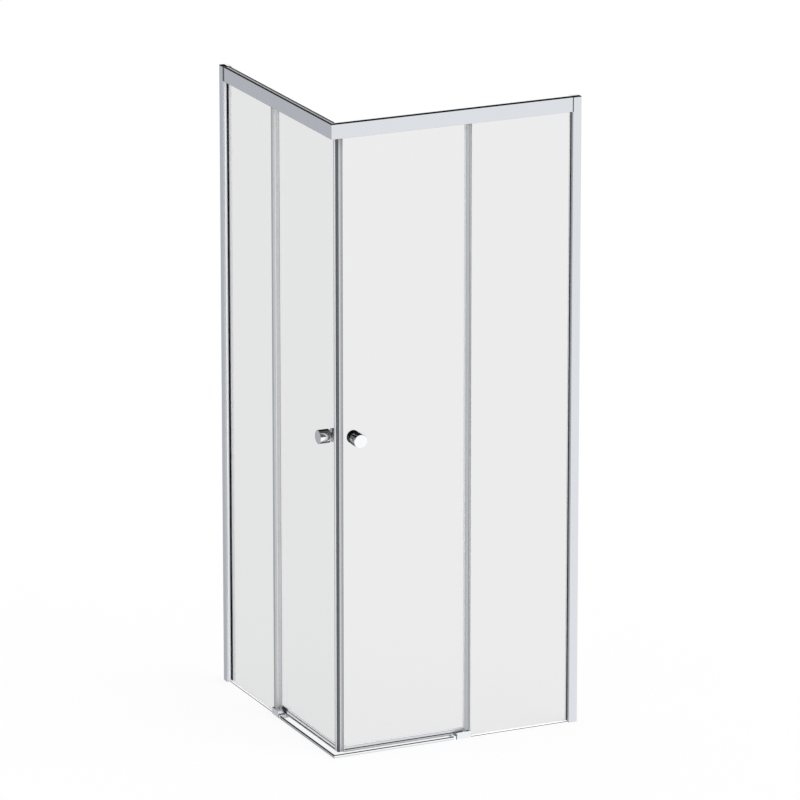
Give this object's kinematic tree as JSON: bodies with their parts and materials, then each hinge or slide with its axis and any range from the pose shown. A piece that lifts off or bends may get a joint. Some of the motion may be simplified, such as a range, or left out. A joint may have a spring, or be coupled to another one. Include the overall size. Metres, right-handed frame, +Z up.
{
  "type": "corner entry shower enclosure",
  "caption": "Corner-entry shower enclosure: two fixed glass panes and two sliding glass doors that meet at the corner, in a slim bright aluminium frame with round chrome knobs.",
  "frame": {"origin": "middle of the footprint's bounding box, in the plane of the shower tray", "axes": "+Z up; the front side faces -Y and the left side faces -X, so the doors meet at the corner towards -X and -Y; walls stand at +X and +Y"},
  "size_m": [0.796, 0.796, 1.9],
  "materials": {
    "polished_aluminium": "bright polished, anodised",
    "mill_aluminium": "plain extruded",
    "chrome": "mirror chrome plated",
    "screw_steel": "plain turned",
    "clear_glass": "clear toughened, polished edges",
    "clear_seal": "soft translucent strip",
    "grey_seal": "matt",
    "black_rubber": "matt",
    "dark_magnet": "satin strip over a magnet",
    "dark_plastic": "satin moulded",
    "chromed_guide": "metallised plastic",
    "white_nylon": "smooth nylon"
  },
  "bodies": {
    "enclosure": {"corner_key": "mill_aluminium", "corner_key_screws": "screw_steel", "front_bottom_seal": "grey_seal", "front_door_guide": "chromed_guide", "front_fixed_glass": "clear_glass", "front_fixed_stile": "polished_aluminium", "front_frame_screws": "screw_steel", "front_header_gasket": "clear_seal", "front_header_rail": "polished_aluminium", "front_overlap_seal": "clear_seal", "front_post_cap": "dark_plastic", "front_post_gaskets": "black_rubber", "front_sill_strip": "polished_aluminium", "front_stop_bumpers": "black_rubber", "front_wall_channel": "mill_aluminium", "front_wall_post": "polished_aluminium", "left_bottom_seal": "grey_seal", "left_door_guide": "chromed_guide", "left_fixed_glass": "clear_glass", "left_fixed_stile": "polished_aluminium", "left_frame_screws": "screw_steel", "left_header_gasket": "clear_seal", "left_header_rail": "polished_aluminium", "left_overlap_seal": "clear_seal", "left_post_cap": "dark_plastic", "left_post_gaskets": "black_rubber", "left_sill_strip": "polished_aluminium", "left_stop_bumpers": "black_rubber", "left_wall_channel": "mill_aluminium", "left_wall_post": "polished_aluminium"},
    "front_door": {"front_door_glass": "clear_glass", "front_leading_stile": "polished_aluminium", "front_magnet_seal": "dark_magnet", "front_trailing_stile": "polished_aluminium", "front_bottom_rail": "polished_aluminium", "front_drip_seal": "clear_seal", "front_roller_hangers": "chrome", "front_roller_axles": "screw_steel", "front_knob_outer": "chrome", "front_knob_inner": "chrome", "front_knob_screw": "screw_steel", "front_knob_washers": "clear_seal"},
    "front_roller_lead": {"front_roller_wheel_lead": "white_nylon"},
    "front_roller_trail": {"front_roller_wheel_trail": "white_nylon"},
    "left_door": {"left_door_glass": "clear_glass", "left_leading_stile": "polished_aluminium", "left_magnet_seal": "dark_magnet", "left_trailing_stile": "polished_aluminium", "left_bottom_rail": "polished_aluminium", "left_drip_seal": "clear_seal", "left_roller_hangers": "chrome", "left_roller_axles": "screw_steel", "left_knob_outer": "chrome", "left_knob_inner": "chrome", "left_knob_screw": "screw_steel", "left_knob_washers": "clear_seal"},
    "left_roller_lead": {"left_roller_wheel_lead": "white_nylon"},
    "left_roller_trail": {"left_roller_wheel_trail": "white_nylon"}
  },
  "joints": [
    {"name": "front_door_slide", "type": "slide", "parent": "enclosure", "child": "front_door", "axis": [1, 0, 0], "range_m": [0, 0.3]},
    {"name": "front_roller_lead_spin", "type": "hinge", "parent": "front_door", "child": "front_roller_lead", "pos_m": [-0.303, -0.3685, 1.872], "axis": [0, 1, 0], "range_deg": [0, 2300]},
    {"name": "front_roller_trail_spin", "type": "hinge", "parent": "front_door", "child": "front_roller_trail", "pos_m": [0.008, -0.3685, 1.872], "axis": [0, 1, 0], "range_deg": [0, 2300]},
    {"name": "left_door_slide", "type": "slide", "parent": "enclosure", "child": "left_door", "axis": [0, 1, 0], "range_m": [0, 0.3]},
    {"name": "left_roller_lead_spin", "type": "hinge", "parent": "left_door", "child": "left_roller_lead", "pos_m": [-0.3685, -0.303, 1.872], "axis": [-1, 0, 0], "range_deg": [0, 2300]},
    {"name": "left_roller_trail_spin", "type": "hinge", "parent": "left_door", "child": "left_roller_trail", "pos_m": [-0.3685, 0.008, 1.872], "axis": [-1, 0, 0], "range_deg": [0, 2300]}
  ],
  "couplings": [
    {"joint": "front_roller_lead_spin", "follows": "front_door_slide", "rad_per_m": 133.33},
    {"joint": "front_roller_trail_spin", "follows": "front_door_slide", "rad_per_m": 133.33},
    {"joint": "left_roller_lead_spin", "follows": "left_door_slide", "rad_per_m": 133.33},
    {"joint": "left_roller_trail_spin", "follows": "left_door_slide", "rad_per_m": 133.33}
  ]
}
